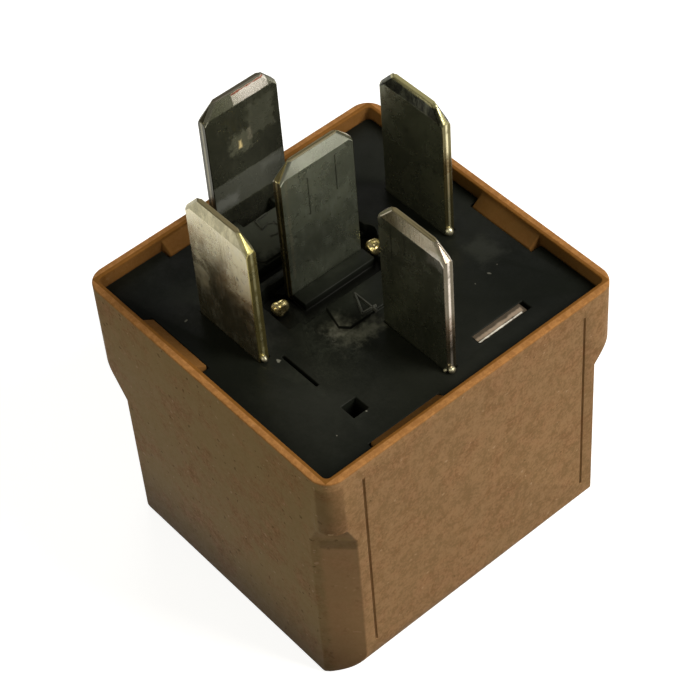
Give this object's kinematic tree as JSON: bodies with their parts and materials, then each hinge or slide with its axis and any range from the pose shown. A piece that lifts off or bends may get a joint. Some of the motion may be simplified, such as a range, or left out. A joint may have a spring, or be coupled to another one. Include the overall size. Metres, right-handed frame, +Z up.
{
  "type": "automotive relay",
  "caption": "Plug-in changeover relay: moulded box case, recessed base plate, five flat blades, hinged armature with leaf-spring contact inside.",
  "frame": {"origin": "centre of the footprint at the plane of the case's closed end, on which the part rests", "axes": "+Z up along the blades, +X from blade 87 to blade 30, +Y from blade 86 to blade 85"},
  "size_m": [0.0254, 0.0262, 0.0332],
  "materials": {
    "case_plastic": "fine spark-eroded texture",
    "base_plastic": "moulded, glass filled",
    "tinned_blade": "tin plated, punched",
    "contact_silver": "silver alloy",
    "magnet_steel": "dull zinc plated",
    "bobbin_plastic": "moulded",
    "enamelled_copper": "enamelled wire",
    "resistor_coat": "lacquer",
    "lead_wire": "tinned wire",
    "rivet_metal": "formed heads",
    "spring_bronze": "rolled strip"
  },
  "bodies": {
    "case": {"cover": "case_plastic", "base_plate": "base_plastic", "terminal_85": "tinned_blade", "terminal_86": "tinned_blade", "terminal_30": "tinned_blade", "terminal_87": "tinned_blade", "terminal_87a": "tinned_blade", "fixed_contact_no": "contact_silver", "fixed_contact_nc": "contact_silver", "yoke": "magnet_steel", "core": "magnet_steel", "bobbin": "bobbin_plastic", "coil_winding": "enamelled_copper", "coil_end_wires": "enamelled_copper", "resistor_body": "resistor_coat", "resistor_leads": "lead_wire", "spring_rivets": "rivet_metal"},
    "armature_unit": {"armature": "magnet_steel", "contact_spring": "spring_bronze", "moving_contact": "contact_silver", "armature_rivets": "rivet_metal"}
  },
  "joints": [
    {"name": "armature_swing", "type": "hinge", "parent": "case", "child": "armature_unit", "pos_m": [0.01, 0.0002, 0.00578], "axis": [0, 1, 0], "range_deg": [0, 2.6], "stiffness_Nm_per_rad": 0.005, "springref_deg": -8.59}
  ]
}
